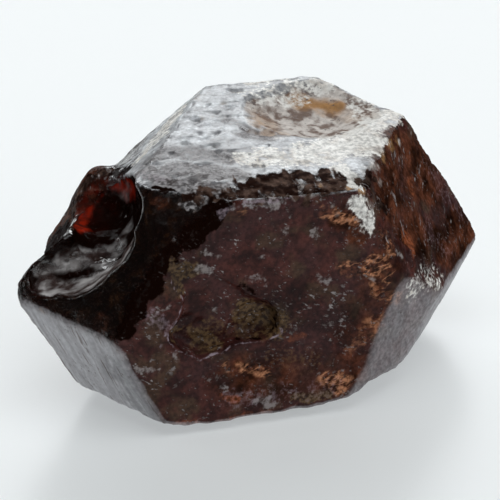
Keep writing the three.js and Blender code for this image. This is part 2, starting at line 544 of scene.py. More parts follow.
# faces that are rough besides. name: (depth of the lumps, their size, octaves, seed)
ROUGH_FACES = {"right upper front": (0.03, 0.22, 2, 25), "left shoulder": (0.05, 0.6, 3, 26)}
for name, (depth, size, octaves, seed) in ROUGH_FACES.items():
    relief += depth * share[name] * lumps(points, size, octaves, seed)

RIPPLE = 0.016
RIPPLE_SPACING = 0.5
RIPPLE_WAVER = 3.0
BREAK_LUMPS = 0.03
broken = smooth_step(depth_in_crystal(points), 0.08, 0.2)
chip_heart = np.array(chip_corner + CHIP_RUN * 1.2 - CHIP_ACROSS * 0.5)
from_heart = np.linalg.norm(points - chip_heart, axis=1)
ripples = np.sin(from_heart * 2 * math.pi / RIPPLE_SPACING + RIPPLE_WAVER * lumps(points, 1.1, 2, 30))
relief += broken * (RIPPLE * ripples + BREAK_LUMPS * lumps(points, 0.5, 3, 31))
print("relief spans", round(float(relief.min()), 3), "to", round(float(relief.max()), 3), "mm")

# %% [markdown]
# ## Pits and swellings
#
# Etching leaves round pits, very many small ones and a few large. A random number to the fourth power
# gives that mix. It is seeded, so the stone comes out the same each time, and a KD-tree finds the
# points round a pit quickly. Beyond the chip the broken skin swells into a knob and sinks again, and
# three broad, soft moves make that. Last, nothing may leave the box that the CAD crystal fills.

# %% Etch pits and swellings
random.seed(12)
PITS = 700
# the smallest pit, and how much wider and deeper the largest is
PIT_RADIUS = 0.13
PIT_WIDER = 0.32
PIT_DEPTH = 0.02
PIT_DEEPER = 0.04
finder = kdtree.KDTree(len(points))
for index, point in enumerate(points):
    finder.insert(point, index)
finder.balance()


def press_pit(centre, radius, depth):
    for _, index, away in finder.find_range(points[centre], radius):
        relief[index] -= depth * (1 - (away / radius) ** 2) ** 2


for _ in range(PITS):
    size = random.random() ** 4
    centre = random.randrange(len(points))
    smooth_face = share["upper prism"][centre]
    press_pit(centre, PIT_RADIUS + PIT_WIDER * size,
              (PIT_DEPTH + PIT_DEEPER * size) * (1 - 0.5 * smooth_face))

# each row: (middle, radius, height), in mm
SWELLINGS = [(chip_corner + CHIP_RUN * 4.0 + CHIP_AWAY * 4.8, 2.0, 0.65),
             (chip_corner + CHIP_RUN * 3.5 + CHIP_AWAY * 5.3, 0.9, 0.25),
             (chip_corner + CHIP_RUN * 6.0 + CHIP_AWAY * 2.5, 2.6, -0.35)]
for centre, radius, height in SWELLINGS:
    away = np.linalg.norm(points - np.array(centre), axis=1)
    relief += height * smooth_step(-away, -radius, 0)

INSIDE_BOX = 0.01
lowest = np.array(cad_low) / MM + INSIDE_BOX
highest = np.array(cad_high) / MM - INSIDE_BOX
write_skin(crystal, np.clip(points + normals * relief[:, None], lowest, highest))
print("pressed", PITS, "pits")


# %% [markdown]
# ## Stains and painted light
#
# The colours of the stone lie in patches: chalky frosting, rust, copper-coloured patches, olive
# coatings. Some patches paint light and shade instead of a stain: highlights, glints, a glow and
# shade. Each is painted as a few strokes on the skin, kept as one number per point, a point attribute.
# The strokes are warped by noise, so that no border is a circle, and the material roughens the borders
# further.

# %% Paint strokes
WARP = 0.25
WARP_SIZE = 0.8
# a stroke is solid out to this share of its radius
STROKE_CORE = 0.3
points, normals = read_skin(crystal)
warped = shaken(points, WARP, WARP_SIZE, 4, (41, 42, 43))


def stroke(start, end, radius):
    """1 along a line from start to end, fading to 0 at radius. All in mm."""
    start, end = np.array(start, float), np.array(end, float)
    run = end - start
    share = np.clip((warped - start) @ run / max(run @ run, 1e-9), 0, 1)
    away = np.linalg.norm(warped - start - np.outer(share, run), axis=1)
    return 1 - smooth_step(away, STROKE_CORE * radius, radius)


def strokes(rows):
    """Several strokes, each (strength, start, end, radius). Where they overlap, the strongest counts."""
    return np.max([strength * stroke(start, end, radius) for strength, start, end, radius in rows], axis=0)


print("painting on", len(points), "points")

# %% [markdown]
# ## Pale stains
#
# Chalky frosting covers the right part of the upper face and runs over its edges in tongues. Pale dust
# sits in dents and scratches, most of them in the front face, and one stroke on the right end is a
# painted glint. Each row of a table is one stroke.

# %% Frosting and dust
# each row: (strength, from, to, radius), in mm in the frame
FROST = [
    (0.75, (-0.4, -1.7, 9.7), (2.0, -1.9, 9.5), 1.3),
    (1.0, (2.0, -1.6, 9.5), (4.4, -1.0, 9.4), 1.5),
    (1.0, (4.0, -0.4, 9.4), (5.9, 1.2, 9.3), 1.1),
    (1.0, (2.6, -3.0, 9.4), (2.9, -4.2, 9.2), 0.7),
    (0.64, (2.7, -4.95, 8.8), (3.0, -5.0, 8.3), 0.62),
    (0.6, (3.0, -5.05, 8.3), (3.15, -5.05, 7.8), 0.55),
    (0.85, (3.55, -4.7, 8.5), (3.8, -4.6, 7.9), 0.27),
    (0.55, (5.2, 1.6, 9.4), (5.3, 3.0, 9.3), 1.0),
    (0.5, (2.4, 0.2, 9.6), (4.0, 0.6, 9.5), 0.8),
    (0.75, (-4.0, 1.5, 9.1), (-1.8, 4.0, 9.5), 0.9),
    (0.44, (5.0, -4.3, 4.7), (6.6, -3.0, 4.3), 0.95),
    (0.5, (1.3, 3.8, 9.8), (3.0, 3.9, 9.7), 1.2),
    (0.9, (1.2, 4.9, 9.4), (4.4, 4.5, 9.3), 0.9),
]
DUST_AND_GLINT = [
    (1.0, (-0.8, -5.0, 9.2), (-0.5, -5.0, 9.15), 0.28),
    (0.9, (-0.4, -5.1, 8.0), (-0.3, -5.1, 7.9), 0.28),
    (0.8, (0.9, -5.1, 7.8), (1.1, -5.1, 7.7), 0.25),
    (0.9, (1.2, -5.1, 5.9), (1.4, -5.1, 5.7), 0.28),
    (1.0, (-3.8, -5.1, 7.0), (-3.3, -5.1, 6.6), 0.3),
    (0.8, (-3.5, -5.1, 7.6), (-3.0, -5.1, 7.3), 0.22),
    (0.8, (-1.3, -5.1, 7.1), (-1.0, -5.1, 7.0), 0.2),
    (0.7, (-1.6, -5.1, 6.2), (-1.2, -5.1, 6.0), 0.25),
    (1.0, (-3.1, -4.8, 4.9), (-2.8, -4.8, 4.7), 0.22),
    (0.9, (-6.2, -5.1, 3.15), (-5.5, -5.1, 2.85), 0.2),
    (0.9, (-1.5, -5.2, 1.05), (-1.1, -5.2, 0.95), 0.3),
    (0.9, (-1.0, -5.2, 0.75), (-0.7, -5.2, 0.65), 0.25),
    (0.8, (-2.9, -5.2, 1.75), (-2.7, -5.2, 1.7), 0.2),
    (0.8, (3.1, -5.1, 5.5), (3.3, -5.1, 5.3), 0.25),
    (0.9, (-5.6, -5.1, 5.2), (-4.9, -5.1, 5.6), 0.14),
    (0.8, (-4.9, -5.1, 3.6), (-4.6, -5.1, 3.1), 0.2),
    # a painted glint on the right end
    (1.0, (4.7, -2.85, 8.3), (4.9, -3.0, 7.6), 0.19),
    (0.9, (3.95, -4.8, 7.1), (4.0, -4.8, 7.0), 0.16),
    (0.9, (4.25, -4.7, 6.5), (4.3, -4.7, 6.4), 0.16),
    (0.9, (4.5, -4.6, 6.2), (4.6, -4.6, 6.1), 0.16),
]
print(len(FROST), "strokes of frosting and", len(DUST_AND_GLINT), "of dust")

# %% [markdown]
# ## Iron stains
#
# Water with iron in it left rust over the right end and along some edges, and orange spots beside it.

# %% Rust and orange
RUST = [
    (0.95, (5.0, -1.4, 8.8), (7.0, 0.6, 6.8), 2.6),
    (0.95, (4.3, -3.2, 7.8), (5.6, -2.6, 6.0), 2.0),
    (0.9, (7.4, -1.4, 4.6), (9.3, 1.0, 4.2), 1.8),
    (1.0, (-0.5, -3.2, 9.6), (-0.7, -4.7, 9.4), 0.3),
    (0.9, (1.5, -4.2, 9.4), (2.1, -4.4, 9.3), 0.35),
    (0.7, (1.9, -5.0, 8.4), (2.6, -5.0, 7.6), 0.9),
    (0.6, (2.6, -5.1, 3.6), (4.2, -4.9, 6.6), 1.5),
    (0.65, (-2.4, -5.2, 2.2), (2.4, -5.2, 1.6), 1.8),
    (1.0, (-5.6, 2.4, 7.7), (-7.5, 2.4, 5.6), 1.2),
    (1.0, (-5.6, 3.2, 7.6), (-7.1, 3.4, 5.2), 1.3),
    (0.35, (-8.2, -3.4, 5.0), (-7.2, -4.4, 4.7), 0.6),
    (0.45, (-5.3, -3.2, 9.5), (-4.8, -3.9, 9.2), 0.5),
    (0.5, (-2.5, 2.8, 9.9), (-3.7, 0.7, 9.8), 0.28),
    (0.7, (-2.5, 5.1, 3.2), (1.5, 5.1, 4.4), 1.7),
    (0.7, (4.0, 5.0, 2.2), (6.4, 4.6, 4.2), 1.3),
]
ORANGE = [
    (0.85, (5.15, -3.7, 6.6), (5.3, -3.6, 6.0), 0.7),
    (0.5, (4.9, -2.2, 8.8), (5.2, -1.9, 8.4), 0.5),
    (0.5, (6.3, -0.9, 8.1), (6.1, -1.4, 7.3), 0.5),
    (1.0, (-2.8, -5.2, 1.35), (-2.5, -5.2, 1.3), 0.32),
    (0.7, (0.0, -5.2, 3.6), (0.4, -5.2, 3.5), 0.4),
    (0.8, (-5.2, -5.0, 0.5), (-0.5, -5.0, 0.35), 0.38),
    (0.7, (-5.1, -5.0, 6.4), (-5.2, -5.0, 5.9), 0.35),
    (0.5, (3.6, -5.0, 5.0), (4.0, -5.0, 4.2), 0.5),
    (0.6, (2.6, 5.1, 5.6), (4.1, 5.1, 4.9), 1.0),
    (0.5, (-3.9, 5.1, 1.9), (-2.8, 5.1, 2.3), 0.8),
]
print(len(RUST), "strokes of rust and", len(ORANGE), "of orange")

# %% [markdown]
# ## Copper patches and coatings
#
# Copper-coloured patches sit along the margin of the front face: rust-brown, with bright coppery veins
# that are painted glints of cracks inside the stone. Olive coatings lie in the pocket and about it, and
# ochre in the hollow on top and along a few edges.

# %% Copper, olive and ochre
COPPER = [
    (1.0, (1.3, -5.0, 8.6), (2.4, -5.0, 8.2), 0.5),
    (1.0, (2.1, -5.1, 6.2), (3.1, -5.1, 5.9), 0.6),
    (1.0, (3.3, -5.0, 6.3), (3.9, -5.0, 5.5), 0.45),
    (0.7, (3.4, -5.0, 5.0), (4.2, -5.0, 4.4), 0.6),
    (0.7, (3.9, -4.9, 7.4), (4.1, -4.9, 6.6), 0.45),
    (0.9, (-3.0, -5.2, 2.7), (-2.5, -5.2, 2.5), 0.35),
    (0.9, (-2.1, -5.2, 2.6), (-1.0, -5.2, 2.2), 0.4),
    (0.9, (1.3, -5.2, 1.5), (2.0, -5.2, 1.2), 0.6),
    (0.6, (-2.0, -5.1, 8.9), (-1.8, -5.1, 8.7), 0.35),
    (0.5, (2.6, -5.1, 3.0), (3.4, -5.1, 3.6), 0.8),
]
OLIVE = [
    (0.9, (-5.0, -4.9, 7.2), (-3.9, -4.9, 6.9), 0.55),
    (0.7, (-5.3, -5.1, 8.2), (-4.9, -5.1, 7.6), 0.45),
    (0.8, (-4.7, -4.8, 6.6), (-4.5, -4.8, 5.9), 0.4),
    (1.0, (-1.7, -4.8, 4.45), (-0.8, -4.8, 4.2), 1.1),
    (0.9, (-4.4, -4.8, 4.2), (-3.2, -4.6, 3.5), 0.75),
    (0.5, (-3.2, -4.6, 4.4), (-2.8, -4.6, 4.0), 0.5),
    (0.8, (0.0, -5.2, 0.9), (1.5, -5.2, 0.8), 0.4),
    (0.5, (-4.1, -4.7, 9.3), (-3.3, -4.9, 9.2), 0.4),
    (0.4, (-0.8, -5.2, 3.0), (0.8, -5.2, 2.4), 0.8),
    (0.7, (-5.0, 5.1, 4.4), (-3.9, 5.1, 5.0), 0.8),
]
OCHRE = [
    (1.0, (3.1, 3.6, 9.5), (4.3, 3.0, 9.4), 0.75),
    (0.4, (1.0, 2.4, 9.7), (1.0, 0.4, 9.6), 1.0),
    (0.35, (4.3, 3.0, 9.5), (4.9, 1.8, 9.4), 0.9),
    (0.4, (0.3, 0.3, 9.7), (0.6, 0.0, 9.7), 0.4),
    (0.35, (-3.0, -2.9, 9.8), (-1.4, -2.8, 9.7), 0.7),
    (0.6, (4.6, -1.9, 9.15), (5.4, -0.8, 9.1), 0.3),
    (0.8, (1.6, -4.3, 9.4), (2.9, -4.7, 9.2), 0.4),
    (0.6, (5.7, -0.4, 9.0), (5.9, 0.4, 8.9), 0.25),
    (0.8, (-9.25, -1.85, 4.75), (-9.2, -1.95, 4.5), 0.18),
]
print(sum(len(rows) for rows in (COPPER, OLIVE, OCHRE)), "strokes of scab and coating")

# %% [markdown]
# ## Dark and grey places
#
# Umber paints a brown-black band along the front rim of the upper face. Ash is grey, ground-down
# glass, and its strokes also paint shading where the upper face curves down at its front left, and a
# highlight along the top edge of the front face. Shade is painted shade: in the chip's hollow, along
# the edges of the pocket, and on the front face's left margin, where it mirrors the dark room.

# %% Umber, ash and shade
UMBER = [
    (1.0, (-1.2, -4.0, 9.5), (1.9, -4.0, 9.4), 1.4),
    (0.9, (-3.4, -4.2, 9.6), (-1.6, -4.0, 9.5), 0.9),
    (0.8, (3.2, -4.2, 9.1), (3.9, -3.4, 9.0), 0.5),
    (0.6, (3.5, -4.3, 8.6), (4.0, -4.0, 8.0), 0.5),
    (0.8, (-3.4, -4.5, 9.6), (-0.9, -4.3, 9.5), 0.5),
    (0.9, (-5.5, 2.3, 7.9), (-6.5, 2.1, 7.1), 0.9),
    (0.8, (-6.6, 1.9, 6.9), (-7.5, -0.6, 7.0), 0.5),
]
ASH_AND_PAINTED_LIGHT = [
    # the first rows also paint the shading of the upper face where it curves down at its front left
    (0.9, (-5.0, -1.4, 9.8), (-4.2, -3.2, 9.8), 0.9),
    (1.0, (-4.4, -3.0, 9.7), (-2.4, -4.0, 9.6), 0.9),
    (0.8, (-3.8, -4.3, 9.4), (-2.8, -4.7, 9.3), 0.5),
    (0.85, (-3.9, -2.0, 9.9), (-1.6, -2.9, 9.8), 1.1),
    (0.8, (-4.4, -0.3, 9.9), (-1.4, -1.4, 9.8), 1.2),
    (0.5, (-2.4, -1.8, 9.8), (-0.4, -2.3, 9.7), 0.9),
    (0.6, (-0.6, 2.2, 9.8), (0.3, 0.2, 9.6), 0.8),
    (0.8, (-0.3, 0.3, 9.8), (0.5, 0.0, 9.7), 0.6),
    (0.5, (-1.6, 0.0, 9.8), (-0.4, -1.0, 9.8), 0.8),
    (0.6, (-4.6, 1.0, 9.0), (-4.2, 0.0, 9.4), 0.8),
    # a painted highlight along the rounded top edge of the front face
    (0.6, (-2.8, -5.0, 9.2), (-0.3, -5.0, 9.3), 0.25),
]
# painted shade: the chip's hollow, the pocket's edges, and the front face's margin that mirrors the dark room
SHADE = [
    (1.0, (-5.3, 1.2, 7.2), (-6.1, 0.1, 6.5), 1.0),
    (1.0, (-6.1, 0.1, 6.5), (-7.0, -0.7, 6.7), 0.7),
    (0.9, (-4.8, 0.6, 7.6), (-5.2, -0.5, 7.0), 0.9),
    (0.9, (-7.2, 2.2, 5.7), (-8.2, -0.7, 6.7), 0.8),
    (0.9, (-7.3, -1.0, 6.9), (-8.3, -0.7, 6.3), 0.5),
    (0.9, (-4.7, 1.2, 8.7), (-4.9, 2.2, 8.0), 0.5),
    (0.9, (-8.3, -1.0, 5.5), (-7.7, -1.2, 5.6), 0.35),
    (1.0, (-6.9, -1.7, 6.05), (-7.0, -1.75, 6.0), 0.35),
    (1.0, (-2.8, -5.0, 9.4), (-4.1, -5.1, 8.2), 0.75),
    (1.0, (-4.9, -5.1, 7.9), (-5.7, -5.1, 6.4), 0.6),
    (1.0, (-5.9, -5.1, 6.3), (-6.7, -5.1, 4.8), 0.6),
    (0.8, (-2.1, -4.9, 3.75), (-0.8, -4.9, 3.85), 0.25),
    (0.6, (-0.5, -4.9, 4.1), (-0.6, -4.9, 5.0), 0.2),
    (0.6, (-0.9, -4.9, 5.3), (-2.0, -4.9, 6.0), 0.18),
    (0.9, (-5.1, -3.2, 9.65), (-4.5, -3.5, 9.6), 0.35),
]
print(sum(len(rows) for rows in (UMBER, ASH_AND_PAINTED_LIGHT, SHADE)), "dark and grey strokes")

# %% [markdown]
# ## Lavender, highlights and gloom
#
# Lavender paints a paler mauve. Along the top edge of the front face and at the pocket's left edge it
# is a painted highlight. Gloom only darkens what is there.

# %% Lavender and gloom
LAVENDER = [
    (0.38, (7.4, 0.5, 7.2), (8.9, 0.9, 4.9), 0.9),
    (0.38, (6.6, -1.9, 5.6), (7.6, -1.3, 4.4), 1.1),
    (0.45, (-5.0, -2.0, 9.8), (-4.5, -2.8, 9.8), 0.5),
    (0.42, (-2.5, -5.2, 1.3), (1.5, -5.2, 1.1), 0.9),
    # a painted highlight at the pocket's left edge
    (0.9, (-5.4, -5.0, 4.0), (-4.7, -5.0, 4.85), 0.28),
    (0.5, (-5.7, -5.1, 5.2), (-5.1, -5.1, 4.7), 0.6),
    # these two: a painted highlight along the rounded top edge of the front face
    (0.55, (-2.9, -4.95, 9.0), (-2.0, -4.95, 9.25), 0.3),
    (0.6, (-2.0, -4.95, 9.3), (0.7, -4.95, 9.35), 0.17),
]
GLOOM = [
    (0.6, (-0.3, -5.1, 5.0), (2.0, -5.1, 4.0), 1.3),
    (0.5, (-3.0, -5.1, 8.5), (-4.6, -5.1, 6.9), 1.0),
    (0.9, (7.2, -0.2, 7.3), (7.9, -0.1, 5.9), 0.5),
    (0.7, (5.1, -4.0, 5.5), (6.1, -3.3, 5.0), 0.7),
    (0.6, (-1.0, 5.1, 6.4), (1.2, 5.1, 7.2), 1.2),
    (0.6, (5.9, -3.0, 5.2), (7.2, -2.2, 5.0), 0.9),
    (0.8, (3.4, -3.9, 9.2), (4.3, -3.8, 7.8), 0.7),
    (0.5, (7.9, -0.6, 5.2), (9.0, 0.4, 4.9), 0.9),
    (0.5, (-6.9, -4.4, 2.6), (-5.9, -4.9, 0.7), 1.3),
]
print(len(LAVENDER), "strokes of lavender and", len(GLOOM), "of gloom")

# %% [markdown]
# ## Inside the chip
#
# The chip cuts through to clear zircon. Light that has come in at the far side glows red in its upper
# wall: the ember, a painted glow. Crushed zircon on its floor is milky white, and its brightest streaks
# are painted highlights, where the rippled floor would catch the light. Both are painted. The milk
# stays inside the chip, and a little of the ember runs over its rim.

# %% Ember and milk
EMBER = [
    (0.85, (-4.8, 1.0, 8.1), (-5.5, 2.0, 7.75), 0.6),
    (0.95, (-5.5, 2.0, 7.75), (-6.1, 1.9, 7.3), 0.5),
    (1.0, (-6.1, 1.9, 7.2), (-6.6, 1.4, 6.8), 0.65),
    (1.0, (-6.6, 1.4, 6.8), (-7.0, 0.4, 6.5), 0.65),
    (0.6, (-4.75, 0.2, 8.2), (-5.0, 1.3, 8.0), 0.75),
    (0.12, (-5.6, 1.2, 7.1), (-6.4, 0.4, 6.5), 1.1),
]
MILK_AND_HIGHLIGHTS = [
    (0.6, (-8.7, -0.7, 5.7), (-7.5, -0.95, 6.2), 0.6),
    (0.65, (-7.5, -0.95, 6.2), (-6.5, -1.8, 6.75), 0.8),
    (1.0, (-6.5, -1.8, 6.75), (-6.05, -2.8, 7.1), 0.8),
    (1.0, (-8.7, -1.3, 5.15), (-7.7, -2.2, 5.35), 0.75),
    (1.0, (-7.7, -2.2, 5.35), (-6.9, -2.6, 5.9), 0.8),
    (1.0, (-6.9, -2.6, 5.9), (-6.0, -2.9, 6.9), 0.7),
    (0.42, (-5.9, -3.0, 7.4), (-5.3, -2.6, 8.8), 0.6),
    (0.55, (-7.0, -1.0, 6.2), (-5.8, -1.2, 6.4), 0.7),
    (0.4, (-5.9, -1.0, 6.5), (-5.2, -0.4, 7.0), 0.5),
    (0.34, (-4.9, 0.6, 7.9), (-5.9, 2.2, 7.8), 0.7),
]
print(len(EMBER), "strokes of ember and", len(MILK_AND_HIGHLIGHTS), "of milk")

# %% [markdown]
# ## What covers each face
#
# Faces of different kinds weather differently. The big prism faces carry a dull crust, the faces of
# the front left are glassy, and those underneath are pale and ground. A point between two faces gets
# a share of each, and the shares change over a tenth of a millimetre.

# %% Looks of the faces
# name: (how much dull crust covers the face, how pale it is, how glossy)
FACE_LOOKS = {
    "front prism": (0.94, 0.0, 0.4), "right upper front": (1.0, 0.0, 0.1), "right shoulder": (1.0, 0.42, 0.2),
    "left lower front": (0.95, 1.0, 0.5), "right lower front": (0.9, 0.8, 0.3),
    "upper prism": (0.1, 0.0, 0.6), "left upper front": (0.5, 0.0, 1.0), "front corner": (0.5, 0.0, 1.0),
    "left shoulder": (0.3, 0.0, 0.4), "under the front": (0.9, 0.9, 0.3),
    "under the left end": (0.9, 1.0, 0.3), "under the right end": (0.9, 0.9, 0.3),
}
OTHER_FACES_LOOK = (0.7, 0.0, 0.3)
ZONE_SOFTNESS = 0.1
ZONE_WARP = 0.25
zone_places = points * (1 - ZONE_WARP) + warped * ZONE_WARP
depths = np.array([depth_below(zone_places, name) for name in planes])
zone = np.exp(-(depths - depths.min(axis=0)) / ZONE_SOFTNESS)
zone /= zone.sum(axis=0)
looks = np.array([FACE_LOOKS.get(name, OTHER_FACES_LOOK) for name in planes])
crust, pale, gloss = looks.T @ zone
zone = dict(zip(planes, zone))
print("crust covers", covered(crust))

# %% [markdown]
# ## Places that follow from the shape
#
# Some marks needn't be painted as strokes, because the shape says where they are: the painted shade
# in the chip, the warm floor of the hollow, the haze on what faces up, and the film on the front left.

# %% Hollow, chip, haze and film
HOLLOW_LEFT = -1.5
HOLLOW_BOTTOM = 8.2
CHIP_FRONT_DEPTH = 0.9
# the chip's hollow is painted in shade, all but its milk and highlights
CHIP_SHADE = 0.9
x, y, z = points.T
skin_depth = depth_in_crystal(points)
hollow = smooth_step(skin_depth + 0.15 * lumps(points, 0.5, 3, 51), 0.0, 0.3)
hollow *= (z > HOLLOW_BOTTOM) & (x > HOLLOW_LEFT)
in_chip = smooth_step(skin_depth, 0.08, 0.25) * smooth_step(depth_below(points, "upper prism"), 0.3, 0.4)
in_chip *= (x < CHIP_RIGHT) & (y < CHIP_BACK) & (z > CHIP_BOTTOM)
in_chip *= depth_below(points, "front prism") > CHIP_FRONT_DEPTH
in_pocket = smooth_step(pocket_depth(points), 0.0, 0.05)
# milky white, with painted highlights, in the chip only
milk_and_highlights = strokes(MILK_AND_HIGHLIGHTS) * in_chip
shade = np.maximum(strokes(SHADE), CHIP_SHADE * in_chip * (1 - milk_and_highlights))

# haze: what faces up on the upper face and the left shoulder is painted pale, over their back edges too
RIM_WIDTH = 0.1
facing_up = normals @ np.array(planes["upper prism"][0]) + 0.12 * lumps(points, 0.35, 3, 64)
over_edge = 0.4 + 0.45 * smooth_step(-y, -3.0, -1.0)
haze = smooth_step(facing_up, over_edge - RIM_WIDTH, over_edge + RIM_WIDTH)
haze *= 1 - smooth_step(depth_below(warped, "upper prism"), 0.5, 1.1)
fading = smooth_step(z + 0.4 * lumps(points, 0.7, 3, 63), 7.7, 9.0)
haze = np.maximum(haze, zone["left shoulder"] * fading) * (1 - in_chip)
print("haze covers", covered(haze))

# the film on the front left is thick and dull where it rounds the corner to the upper face
film = np.clip(zone["left upper front"] + zone["front corner"], 0, 1) * (1 - in_chip)
rounded = film * smooth_step(facing_up, 0.55, 0.8)
crust = np.maximum(crust, rounded)
crust = np.maximum(crust, np.maximum(hollow, 0.85 * in_pocket)) * (1 - in_chip)
gloss *= 1 - 0.9 * rounded

# %% [markdown]
# ## Lip and fringe
#
# A pale lip runs along the pocket's crisp edges, which are its lower and its left one: a painted
# highlight where the edges catch the light. The frosting ends in a fringe where the right end begins.

# %% Lip and fringe
LIP_WIDTH = 0.08
LIP_OUTSIDE = 0.04
LIP_BACK = -3.5
LIP_TOP = 4.0
LIP_LEFT = -4.2
ragged_points = shaken(points, *POCKET_RAGGED)
from_outline = outline_distance(ragged_points[:, 0], ragged_points[:, 2], POCKET_OUTLINE)
# the lip is a painted highlight where the pocket's edge catches the light
lavender_and_highlight = np.clip(1 - np.abs(from_outline + LIP_OUTSIDE) / LIP_WIDTH, 0, 1) * (y < LIP_BACK)
lavender_and_highlight *= ((z < LIP_TOP) | (x < LIP_LEFT)) * (0.75 + 0.5 * lumps(points, 0.5, 2, 61))
lavender_and_highlight = np.maximum(lavender_and_highlight, strokes(LAVENDER))

FRINGE_FRONT = -4.15
FRINGE_BOTTOM = 6.5
past_edge = depth_below(warped, "upper prism") - depth_below(warped, "right upper front")
past_edge += 0.35 * lumps(points, 0.5, 3, 62)
fringe_zone = (y > FRINGE_FRONT) & (z > FRINGE_BOTTOM)
frost = strokes(FROST) * (1 - smooth_step(past_edge, -0.1, 0.35) * fringe_zone)
print("frosting covers", covered(frost))


# %% [markdown]
# ## Onto the skin
#
# A point attribute keeps one number per point under a name, and the material reads it by that name.

# %% Store the stains and painted light
DENT_ASH = 0.6
EMBER_OUTSIDE = 0.3


def store(piece, name, values):
    attribute = piece.data.attributes.new(name, "FLOAT", "POINT")
    attribute.data.foreach_set("value", np.clip(values, 0, 1).astype(np.float32))


stains_and_painted_light = {
    "frost": frost, "dust_and_glint": strokes(DUST_AND_GLINT), "rust": strokes(RUST), "orange": strokes(ORANGE),
    "copper": strokes(COPPER), "olive": strokes(OLIVE), "ochre": strokes(OCHRE), "umber": strokes(UMBER),
    "ash_and_painted_light": np.maximum(strokes(ASH_AND_PAINTED_LIGHT), DENT_ASH * dents), "shade": shade, "milk_and_highlights": milk_and_highlights,
    "ember": strokes(EMBER) * np.maximum(in_chip, EMBER_OUTSIDE), "lavender_and_highlight": lavender_and_highlight, "haze": haze, "film": film,
    "gloom": strokes(GLOOM), "crust": crust, "pale": pale, "gloss": gloss, "hollow": hollow,
}
for name, values in stains_and_painted_light.items():
    store(crystal, name, values)
    print(name, "covers", covered(values))

# %% [markdown]
# ## From the workbench to the frame
#
# The mesh is scaled, not the object: the object stays at the origin, unturned and unscaled, so patterns
# that read object coordinates stay where they are. Smooth shading lets the small faces read as one skin.

# %% Shrink to metres and place in the frame
mesh = crystal.data
mesh.transform(Matrix.Scale(MM, 4))
mesh.update()
for polygon in mesh.polygons:
    polygon.use_smooth = True
print("triangles:", sum(len(polygon.vertices) - 2 for polygon in mesh.polygons))


# %% [markdown]
# ## The stone's material
#
# Two things lie side by side on this stone, and each is a shader of its own. Bare zircon is glass with
# a very high index of refraction, 1.93, that swallows most light but red within a few millimetres:
# clear glass with Volume Absorption, so that thin places let red light through and thick parts are
# nearly black. The crust on it is opaque. A Mix Shader lays one over the other, and a ragged mask says
# where.
#
# Writing each node and link out makes long scripts that hide the idea, so a few helpers add one node
# each and hand back its output. Their inputs take either another node's output or a plain value.

# %% Node helpers
stone = bpy.data.materials.new("stone")
stone.use_nodes = True
tree = stone.node_tree
tree.nodes.clear()


def plug(target, value):
    if isinstance(value, bpy.types.NodeSocket):
        tree.links.new(value, target)
    else:
        target.default_value = value


def set_inputs(node, values):
    for name, value in values.items():
        plug(node.inputs[name], value)


def maths(operation, a, b=0.0):
    node = tree.nodes.new("ShaderNodeMath")
    node.operation = operation
    plug(node.inputs[0], a)
    plug(node.inputs[1], b)
    return node.outputs[0]


def plus(a, b):
    return maths("ADD", a, b)


def times(a, b):
    return maths("MULTIPLY", a, b)


def most(*values):
    """The largest of several values."""
    largest = values[0]
    for value in values[1:]:
        largest = maths("MAXIMUM", largest, value)
    return largest


print("an empty graph for the material", stone.name)


# %% [markdown]
# ## Ramps and blends
#
# A ramp turns a noise or a painted number into a mask, and a blend mixes two numbers or two colours
# by a mask. A stored number is read back by its name.

# %% Ramps and blends
def rise(value, start, end):
    """0 below start, 1 above end, and smooth between. Start may be the larger."""
    node = tree.nodes.new("ShaderNodeMapRange")
    node.interpolation_type = "SMOOTHSTEP"
    set_inputs(node, {"Value": value, "From Min": start, "From Max": end})
    return node.outputs["Result"]


def between(share, a, b):
    """a where share is 0, b where it is 1."""
    node = tree.nodes.new("ShaderNodeMix")
    plug(node.inputs[0], share)
    plug(node.inputs[2], a)
    plug(node.inputs[3], b)
    return node.outputs[0]


def blend(share, a, b, kind="MIX"):
    """The same for colours."""
    node = tree.nodes.new("ShaderNodeMix")
    node.data_type = "RGBA"
    node.blend_type = kind
    plug(node.inputs[0], share)
    plug(node.inputs[6], a)
    plug(node.inputs[7], b)
    return node.outputs[2]


def vectors(operation, a, b):
    """Vector maths. SCALE takes a vector and a number, the others take two vectors."""
    node = tree.nodes.new("ShaderNodeVectorMath")
    node.operation = operation
    plug(node.inputs[0], a)
    plug(node.inputs["Scale" if operation == "SCALE" else 1], b)
    return node.outputs["Value" if operation == "DOT_PRODUCT" else "Vector"]


def read(name):
    node = tree.nodes.new("ShaderNodeAttribute")
    node.attribute_name = name
    return node.outputs["Fac"]


def colour(red, green, blue):
    return (red, green, blue, 1.0)


print("painted numbers to read:", ", ".join(stains_and_painted_light))


# %% [markdown]
# ## Grains
#
# Noise breaks up everything that is painted. The patterns are read at Object coordinates, turned into
# millimetres, so that they sit still on the stone.

# %% Grains
coordinates = tree.nodes.new("ShaderNodeTexCoord")
place = vectors("SCALE", coordinates.outputs["Object"], 1 / MM)


def grain(size, detail=2.0, where=place):
    """Noise between 0 and 1 whose lumps are about size mm across."""
    node = tree.nodes.new("ShaderNodeTexNoise")
    set_inputs(node, {"Vector": where, "Scale": 1 / size, "Detail": detail})
    return node.outputs["Fac"]


def drawn_out(direction, factor, size, detail=3.0):
    """Noise drawn out along one direction, for growth lines and streaks."""
    direction = Vector(direction).normalized()
    along = vectors("DOT_PRODUCT", place, direction)
    squeeze = vectors("SCALE", direction, times(along, 1 / factor - 1))
    return grain(size, detail, vectors("ADD", place, squeeze))


